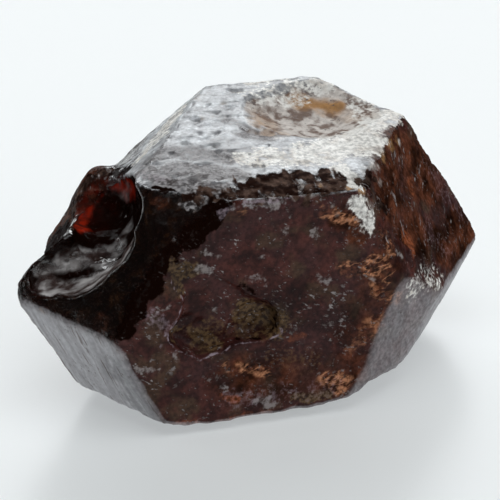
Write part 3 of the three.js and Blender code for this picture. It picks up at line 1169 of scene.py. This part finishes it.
RIGHT_LINES = GROWTH_LINES["right upper front"][0]
LEFT_LINES = GROWTH_LINES["left lower front"][0]
fine_grain = grain(0.16, 4.0)
blotchy = grain(0.38, 5.0)
soft_grain = grain(0.5, 7.0)
mid_grain = grain(0.7, 4.0)
broad_grain = grain(2.2, 3.0)
two_grains = times(plus(soft_grain, fine_grain), 0.5)
right_streaks = drawn_out(RIGHT_LINES, 1.6, 0.8, 8.0)
left_streaks = drawn_out(LEFT_LINES, 10.0, 0.2)
chip_streaks = drawn_out(CHIP_RUN, 2.2, 0.45, 4.0)
fingers = drawn_out((0.1, 1.0, 0.0), 2.5, 0.4, 6.0)
print("grains from 0.16 to 2.2 mm, and streaks along the growth lines")

# %% [markdown]
# ## Masks
#
# A mask says how much of a stain shows at each place. It is the painted number with its border broken
# up by one of the grains.

# %% Masks
def ragged(name, low, high, raggedness, roughener=fine_grain):
    """A painted stain with its border broken up by a grain. Where nothing is painted it stays 0."""
    painted = read(name)
    rough_edge = times(maths("SUBTRACT", roughener, 0.5), raggedness)
    return times(rise(plus(painted, rough_edge), low, high), rise(painted, 0.0, 0.2))


frost = times(ragged("frost", 0.3, 0.7, 2.2, two_grains), rise(mid_grain, 0.25, 0.42))
dust_and_glint = times(ragged("dust_and_glint", 0.3, 1.0, 1.8), 0.75)
lavender_and_highlight = ragged("lavender_and_highlight", 0.35, 0.9, 0.9)
rust = ragged("rust", 0.2, 0.9, 1.2, mid_grain)
orange = ragged("orange", 0.3, 1.1, 1.6, mid_grain)
copper = ragged("copper", 0.2, 1.0, 1.4, mid_grain)
olive = ragged("olive", 0.3, 0.9, 1.1)
ochre = ragged("ochre", 0.0, 1.1, 1.2, soft_grain)
umber = ragged("umber", 0.3, 0.75, 3.6, fingers)
ash_and_painted_light = ragged("ash_and_painted_light", 0.2, 0.9, 1.4)
shade = ragged("shade", 0.25, 0.6, 2.2, blotchy)
ember = ragged("ember", 0.0, 1.0, 0.3, soft_grain)
milk_and_highlights = ragged("milk_and_highlights", 0.15, 1.0, 0.7, mid_grain)
pale = times(ragged("pale", 0.2, 0.35, 0.3, mid_grain), read("pale"))
hollow_mask = ragged("hollow", 0.1, 0.8, 0.8, soft_grain)
haze = times(read("haze"), between(soft_grain, 0.58, 1.0))
scratches = times(rise(drawn_out(LEFT_LINES, 9.0, 0.15, 2.0), 0.64, 0.7), times(pale, 0.6))
# where a noise passes through its middle value it draws thin wavy lines
wavy = maths("ABSOLUTE", maths("SUBTRACT", drawn_out((0.9, 0.0, 0.2), 2.5, 0.33, 4.0), 0.5))
veins = rise(wavy, 0.06, 0.0)
print("the masks take", len(tree.nodes), "nodes so far")

# %% [markdown]
# ## Flecks
#
# Pits filled with pale dust show as irregular blots, drawn out a little along the growth lines and
# crowded in some places. The highest spots of a noise give them. A second, broader noise added to the
# first moves the level up and down, and that makes the crowds. On the rust they give way to painted
# glints, drawn out along its growth lines.

# %% Flecks
FLECK_SOFTNESS = 0.12


def blots(direction, factor, size, crowd_size, crowding, level):
    crowd = maths("SUBTRACT", grain(crowd_size), 0.5)
    together = plus(drawn_out(direction, factor, size, 4.0), times(crowd, crowding))
    return rise(together, level, level + FLECK_SOFTNESS)


small_flecks = blots((0.85, 0.0, -0.45), 1.8, 0.11, 0.8, 0.4, 0.625)
large_flecks = blots((0.8, 0.0, 0.3), 1.4, 0.24, 1.6, 0.4, 0.68)
# painted glints on the rust of the right end, drawn out along its growth lines
right_glints = blots(RIGHT_LINES, 3.0, 0.16, 1.0, 0.5, 0.64)
flecks_and_glints = most(small_flecks, large_flecks)
# how much of them shows on a kind of skin. each row: (its name, where there is none of it, in full)
FLECKED = [("crust", 0.25, 1.0), ("film", 1.0, 0.3), ("shade", 1.0, 0.2)]
for name, without, within in FLECKED:
    flecks_and_glints = times(flecks_and_glints, between(read(name), without, within))
flecks_and_glints = between(read("rust"), flecks_and_glints, most(right_glints, times(flecks_and_glints, 0.3)))
print("three sizes of fleck")

# %% [markdown]
# ## Colours of the crust
#
# No natural stain is one flat colour, so each layer has a dark and a light tone and a grain that
# wanders between them. The names say which layer a tone belongs to. The values are linear: red, green
# and blue as shares of the light that is sent back.

# %% Tones
MAROON_DARK = colour(0.030, 0.009, 0.008)
MAROON = colour(0.085, 0.026, 0.021)
PURPLE_BROWN = colour(0.060, 0.024, 0.024)
BROWN_FILM = colour(0.075, 0.042, 0.026)
RUST_DARK = colour(0.022, 0.008, 0.004)
RUST_BROWN = colour(0.130, 0.043, 0.023)
RUST_RED = colour(0.110, 0.050, 0.044)
RUST_ORANGE = colour(0.300, 0.085, 0.035)
# coppery glints of cracks inside the stone, painted
COPPER_GLINT_TONE = colour(0.500, 0.225, 0.120)
OLIVE_TONE = colour(0.125, 0.074, 0.036)
OLIVE_DARK = colour(0.050, 0.026, 0.014)
OCHRE_TONE = colour(0.420, 0.230, 0.100)
UMBER_TONE = colour(0.120, 0.075, 0.058)
UMBER_DARK = colour(0.016, 0.007, 0.005)
FILM_DARK = colour(0.007, 0.002, 0.001)
FILM_BROWN = colour(0.038, 0.014, 0.005)
HAZE_TONE = colour(0.820, 0.850, 0.885)
HAZE_DARK = colour(0.500, 0.505, 0.530)
# lavender, and painted highlights along edges
LAVENDER_AND_HIGHLIGHT_TONE = colour(0.330, 0.260, 0.300)
# grey ash, also used for painted shading and a painted highlight
ASH_AND_PAINTED_LIGHT_TONE = colour(0.360, 0.345, 0.350)
ASH_AND_PAINTED_LIGHT_DARK = colour(0.090, 0.076, 0.074)
# painted shade
SHADE_TONE = colour(0.007, 0.002, 0.001)
EMBER_TONE = colour(0.320, 0.019, 0.006)
EMBER_DARK = colour(0.090, 0.013, 0.008)
# milky fracture, with painted highlights on the chip's floor
MILK_AND_HIGHLIGHT_TONE = colour(0.720, 0.690, 0.680)
MILK_AND_HIGHLIGHT_DARK = colour(0.060, 0.036, 0.031)
FROST_TONE = colour(0.820, 0.800, 0.760)
FROST_DARK = colour(0.600, 0.540, 0.480)
PALE_TONE = colour(0.600, 0.595, 0.620)
PALE_DARK = colour(0.420, 0.405, 0.425)
# pale flecks and dust, and painted glints
FLECK_AND_GLINT_TONE = colour(0.340, 0.305, 0.300)
FLECK_AND_GLINT_DARK = colour(0.130, 0.105, 0.100)
HOLLOW_LIGHT = colour(0.640, 0.590, 0.550)
HOLLOW_DARK = colour(0.210, 0.155, 0.130)
print("colours from maroon", MAROON[:3], "to frosting", FROST_TONE[:3])


# %% [markdown]
# ## Laying the colours over each other
#
# The crust is built up as on the stone, and each row of the tables lays one stain, or one patch of
# painted light or shade, over all that is under it, so the order of the rows matters as it would with
# paint. A mottle darkens and lightens what the first table made. The second, with the painted shade,
# the glow, the highlights and glints, and the stains in the chip and the pits, comes after it.

# %% Crust colours
def lay(under, mask, dark, light=None, variation=None, low=0.35, high=0.65):
    """A stain over what is under it: of one tone, or wandering between a dark and a light one."""
    tone = dark if light is None else blend(rise(variation, low, high), dark, light)
    return blend(mask, under, tone)


purple_patches = times(rise(broad_grain, 0.45, 0.65), 0.7)
brown_patches = times(rise(grain(1.2, 5.0), 0.52, 0.66), 0.8)
red_rust = times(rust, rise(broad_grain, 0.5, 0.7))
# the coppery veins are painted glints of cracks inside the stone
copper_glint_veins = times(copper, most(veins, rise(mid_grain, 0.52, 0.66)))
# each row: (mask, tone), or (mask, dark tone, light tone, the grain that chooses, its two levels)
LOWER_LAYERS = [
    (purple_patches, PURPLE_BROWN),
    (brown_patches, BROWN_FILM),
    (read("film"), FILM_DARK, FILM_BROWN, soft_grain, 0.45, 0.75),
    (read("haze"), HAZE_DARK, HAZE_TONE, soft_grain),
    (rust, RUST_DARK, RUST_BROWN, right_streaks, 0.36, 0.66),
    (red_rust, RUST_DARK, RUST_RED, mid_grain),
    (times(copper, 0.7), RUST_DARK, RUST_BROWN, fine_grain),
    (copper_glint_veins, RUST_BROWN, COPPER_GLINT_TONE, fine_grain, 0.25, 0.55),
    (times(orange, 0.85), RUST_BROWN, RUST_ORANGE, fine_grain, 0.2, 0.6),
    (olive, OLIVE_DARK, OLIVE_TONE, fine_grain, 0.35, 0.6),
    (hollow_mask, HOLLOW_DARK, HOLLOW_LIGHT, soft_grain, 0.38, 0.58),
    (ochre, OCHRE_TONE),
    (ash_and_painted_light, ASH_AND_PAINTED_LIGHT_DARK, ASH_AND_PAINTED_LIGHT_TONE, two_grains, 0.4, 0.6),
    (pale, PALE_DARK, PALE_TONE, left_streaks, 0.3, 0.7),
    (scratches, UMBER_TONE),
    (frost, FROST_DARK, FROST_TONE, mid_grain, 0.3, 0.55),
    (umber, UMBER_DARK, UMBER_TONE, soft_grain, 0.42, 0.7),
]
UPPER_LAYERS = [
    (shade, SHADE_TONE),
    (ember, EMBER_DARK, EMBER_TONE, blotchy, 0.35, 0.6),
    (milk_and_highlights, MILK_AND_HIGHLIGHT_DARK, MILK_AND_HIGHLIGHT_TONE, chip_streaks, 0.36, 0.7),
    (flecks_and_glints, FLECK_AND_GLINT_DARK, FLECK_AND_GLINT_TONE, mid_grain, 0.4, 0.6),
    (dust_and_glint, FLECK_AND_GLINT_DARK, FLECK_AND_GLINT_TONE, fine_grain, 0.3, 0.6),
    (lavender_and_highlight, LAVENDER_AND_HIGHLIGHT_TONE),
]
crust_colour = blend(rise(mid_grain, 0.35, 0.65), MAROON_DARK, MAROON)
for layer in LOWER_LAYERS:
    crust_colour = lay(crust_colour, *layer)
mottle = between(rise(fine_grain, 0.3, 0.7), 0.65, 1.3)
mottle = between(times(most(pale, hollow_mask), 0.7), mottle, 1.0)
gloom = times(read("gloom"), rise(soft_grain, 0.3, 0.5))
mottle = times(mottle, between(gloom, 1.0, 0.3))
crust_colour = blend(1.0, crust_colour, mottle, "MULTIPLY")
for layer in UPPER_LAYERS:
    crust_colour = lay(crust_colour, *layer)
print("laid", len(LOWER_LAYERS) + len(UPPER_LAYERS), "stains over the maroon")

# %% [markdown]
# ## Relief too fine for the mesh
#
# The faces of the mesh are a tenth of a millimetre across. What is finer than that goes into a Bump
# node: the grain of the crust, the sunken flecks and the wrinkles in the glassy skin. The heights are
# in millimetres, and Distance says how long a millimetre is.

# %% Surface relief in the shader
FINE_HEIGHT = 0.010
GRAIN_HEIGHT = 0.012
FLECK_HEIGHT = -0.015
WRINKLE_HEIGHT = 0.05
height = plus(times(fine_grain, FINE_HEIGHT), times(flecks_and_glints, FLECK_HEIGHT))
height = plus(height, times(grain(0.35), GRAIN_HEIGHT))
fine_wrinkles = times(drawn_out(WRINKLE_RUN, 2.4, 0.33, 4.0), WRINKLE_HEIGHT)
height = plus(height, times(fine_wrinkles, between(read("crust"), 1.0, 0.2)))
bump = tree.nodes.new("ShaderNodeBump")
set_inputs(bump, {"Strength": 1.0, "Distance": MM, "Height": height})
print("the deepest wrinkles of the shader are", WRINKLE_HEIGHT, "mm")

# %% [markdown]
# ## Bare zircon
#
# Plain values make the see-through part: Transmission 1, the real index of refraction, and absorption
# inside. The worn skin scatters a little, so its roughness wanders between polished and satin.

# %% Bare zircon
ZIRCON_TONE = colour(0.95, 0.85, 0.8)
ZIRCON_IOR = 1.93
POLISHED = 0.04
SATIN = 0.22
glass = tree.nodes.new("ShaderNodeBsdfPrincipled")
set_inputs(glass, {
    "Base Color": ZIRCON_TONE, "Transmission Weight": 1.0, "IOR": ZIRCON_IOR,
    "Roughness": between(mid_grain, POLISHED, SATIN), "Normal": bump.outputs["Normal"],
})
print("zircon bends light with an index of", ZIRCON_IOR)

# %% [markdown]
# ## The crust's own shine
#
# Crust is dry and rough, and a bright specular layer all over it would turn the dark maroon milky. So
# its own specular is off, and a Coat does the shining only where the face is still glassy. How much is
# painted per face, and the dullest stains all but switch it off.

# %% Crust with a patchy gloss
CRUST_SPECULAR = 0.0
CRUST_ROUGHNESS = (0.5, 0.8)
GLOSS_IOR = 1.4
GLOSS_ROUGHNESS = 0.28
GLOSS_LEFT = 0.03
dullness = most(hollow_mask, rust, umber, shade, ember, times(milk_and_highlights, 0.8), times(ash_and_painted_light, 0.85))
crust_shader = tree.nodes.new("ShaderNodeBsdfPrincipled")
set_inputs(crust_shader, {
    "Base Color": crust_colour, "Roughness": between(mid_grain, *CRUST_ROUGHNESS),
    "Specular IOR Level": CRUST_SPECULAR, "Coat IOR": GLOSS_IOR, "Coat Roughness": GLOSS_ROUGHNESS,
    "Coat Weight": times(read("gloss"), between(dullness, 1.0, GLOSS_LEFT)),
    "Normal": bump.outputs["Normal"],
})
print("crust gloss has an index of", GLOSS_IOR)

# %% [markdown]
# ## One stone out of glass and crust
#
# Every stain, and every patch of painted light or shade, brings its own share of cover, because a thin
# haze lets the glass show and a scab of rust does not. The highest share wins. The absorption density
# is per metre. With this colour, 900 leaves four fifths of the red and about half of the green and blue
# after a millimetre. After five, about a third of the red is left, and next to nothing else.

# %% Mix glass and crust
COVERINGS = [
    (flecks_and_glints, 0.85), (dust_and_glint, 1.0), (lavender_and_highlight, 1.0), (haze, 0.8), (hollow_mask, 1.0), (olive, 0.85), (umber, 1.0),
    (ash_and_painted_light, 0.9), (orange, 1.0), (rust, 0.9), (shade, 0.95), (milk_and_highlights, 0.8), (ember, 0.9),
]
covers = [times(mask, strength) for mask, strength in COVERINGS]
both = tree.nodes.new("ShaderNodeMixShader")
plug(both.inputs[0], most(ragged("crust", 0.2, 0.8, 0.8), frost, *covers))
plug(both.inputs[1], glass.outputs["BSDF"])
plug(both.inputs[2], crust_shader.outputs["BSDF"])

ABSORB_COLOUR = colour(0.75, 0.22, 0.10)
ABSORB_DENSITY = 900
inside = tree.nodes.new("ShaderNodeVolumeAbsorption")
set_inputs(inside, {"Color": ABSORB_COLOUR, "Density": ABSORB_DENSITY})
output = tree.nodes.new("ShaderNodeOutputMaterial")
set_inputs(output, {"Surface": both.outputs["Shader"], "Volume": inside.outputs["Volume"]})

mesh.materials.clear()
mesh.materials.append(stone)
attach(crystal, "root")
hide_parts(NODE)
print("the stone's material has", len(tree.nodes), "nodes")

# %% [markdown]
# ## Floor
#
# A plain pale sheet with a soft gloss. It also glows weakly, as a lit table of white plastic does, so
# that it is nearly as bright under the stone's edge as further out, and the stone stands in a bright
# surround. The Standard view keeps its near-white as it is given.

# %% Floor
FLOOR_WIDTH = 3.0
FLOOR_LOOK = {
    "Base Color": colour(0.50, 0.51, 0.51), "Emission Color": colour(0.93, 0.97, 0.98),
    "Emission Strength": 0.345, "Roughness": 0.3, "IOR": 1.3,
}
scene = bpy.context.scene
scene.view_settings.view_transform = "Standard"


def make_floor(width):
    bm = bmesh.new()
    bmesh.ops.create_grid(bm, x_segments=1, y_segments=1, size=width / 2)
    floor = to_object(bm, "floor")
    material = bpy.data.materials.new("pale_gloss")
    material.use_nodes = True
    set_inputs(material.node_tree.nodes["Principled BSDF"], FLOOR_LOOK)
    floor.data.materials.append(material)


make_floor(FLOOR_WIDTH)
print("the floor is", FLOOR_WIDTH, "m wide")


# %% [markdown]
# ## Lights
#
# A glassy stone shows its lights as reflections, so each softbox is placed by the direction in which a
# face mirrors it. The big one behind gives the white sheen on the upper face. The one overhead only
# fills: it is hidden from reflections, because it would wash out the dark front corner.

# %% Lights
DAYLIGHT = (0.955, 0.985, 1.0)
LIGHT_AIM = Vector((0, 0, 0.005))
# name: (heading, elevation, distance, width, height, radiance, whether surfaces mirror it). Heading and
# elevation, in degrees, are the direction in which the light stands, seen from the stone
SOFTBOXES = {
    "back_softbox": (68, 27, 0.30, 0.40, 0.14, 3.6, True),
    "left_softbox": (138, 24, 0.30, 0.12, 0.12, 1.6, True),
    "front_fill": (-50, 30, 0.42, 0.60, 0.26, 1.0, True),
    "top_softbox": (-90, 76, 0.45, 0.55, 0.40, 1.7, False),
}


def softbox(name, heading, elevation, distance, width, height, radiance, mirrored):
    lamp = bpy.data.lights.new(name, "AREA")
    lamp.shape = "RECTANGLE"
    lamp.size = width
    lamp.size_y = height
    lamp.energy = radiance * math.pi * width * height
    lamp.color = DAYLIGHT
    box = bpy.data.objects.new(name, lamp)
    scene.collection.objects.link(box)
    outward = compass_direction(heading, elevation)
    box.location = LIGHT_AIM + outward * distance
    box.rotation_mode = "QUATERNION"
    box.rotation_quaternion = (-outward).to_track_quat("-Z", "Y")
    box.visible_camera = False
    box.visible_glossy = mirrored


for name, values in SOFTBOXES.items():
    softbox(name, *values)
print("lit by", len(SOFTBOXES), "softboxes")

# %% [markdown]
# ## Surroundings
#
# Around the lights the room is dark, and the camera alone sees a pale backdrop. Mirrored in the stone,
# a white room would hide its colour.

# %% Surroundings
ROOM_TONE = colour(0.02, 0.018, 0.017)
BACKDROP_TONE = colour(0.91, 0.945, 0.955)
world = bpy.data.worlds.new("studio")
scene.world = world
world.use_nodes = True
sky = world.node_tree
seen = sky.nodes.new("ShaderNodeLightPath")
tone = sky.nodes.new("ShaderNodeMix")
tone.data_type = "RGBA"
tone.inputs[6].default_value = ROOM_TONE
tone.inputs[7].default_value = BACKDROP_TONE
sky.links.new(seen.outputs["Is Camera Ray"], tone.inputs[0])
sky.links.new(tone.outputs[2], sky.nodes["Background"].inputs["Color"])
print("the backdrop's tone is", BACKDROP_TONE[:3])

# %% [markdown]
# ## Camera
#
# A long lens from 30 cm flattens the perspective, as in a close-up of a small stone. The camera is
# placed by its direction from the stone, and tilted by half a degree.

# %% Camera
CAMERA_AZIMUTH = -17.36
CAMERA_ELEVATION = 24.66
CAMERA_ROLL = -0.45
CAMERA_DISTANCE = 0.301
CAMERA_LENS = 554.8
CAMERA_SENSOR = 36
CAMERA_NEAR = 0.01
CAMERA_FAR = 10
CAMERA_AIM = Vector((-0.17, -0.16, 5.09)) * MM
turn, tilt = math.radians(CAMERA_AZIMUTH), math.radians(CAMERA_ELEVATION)
back = Vector((math.sin(turn) * math.cos(tilt), -math.cos(turn) * math.cos(tilt), math.sin(tilt)))
camera_data = bpy.data.cameras.new("camera")
camera_data.lens = CAMERA_LENS
camera_data.sensor_width = CAMERA_SENSOR
camera_data.clip_start = CAMERA_NEAR
camera_data.clip_end = CAMERA_FAR
camera = bpy.data.objects.new("camera", camera_data)
scene.collection.objects.link(camera)
look = (-back).to_track_quat("-Z", "Y").to_matrix().to_4x4()
camera.matrix_world = (Matrix.Translation(CAMERA_AIM + back * CAMERA_DISTANCE) @ look
                       @ Matrix.Rotation(math.radians(CAMERA_ROLL), 4, "Z"))
scene.camera = camera
print("the camera stands", round(CAMERA_DISTANCE, 3), "m away")
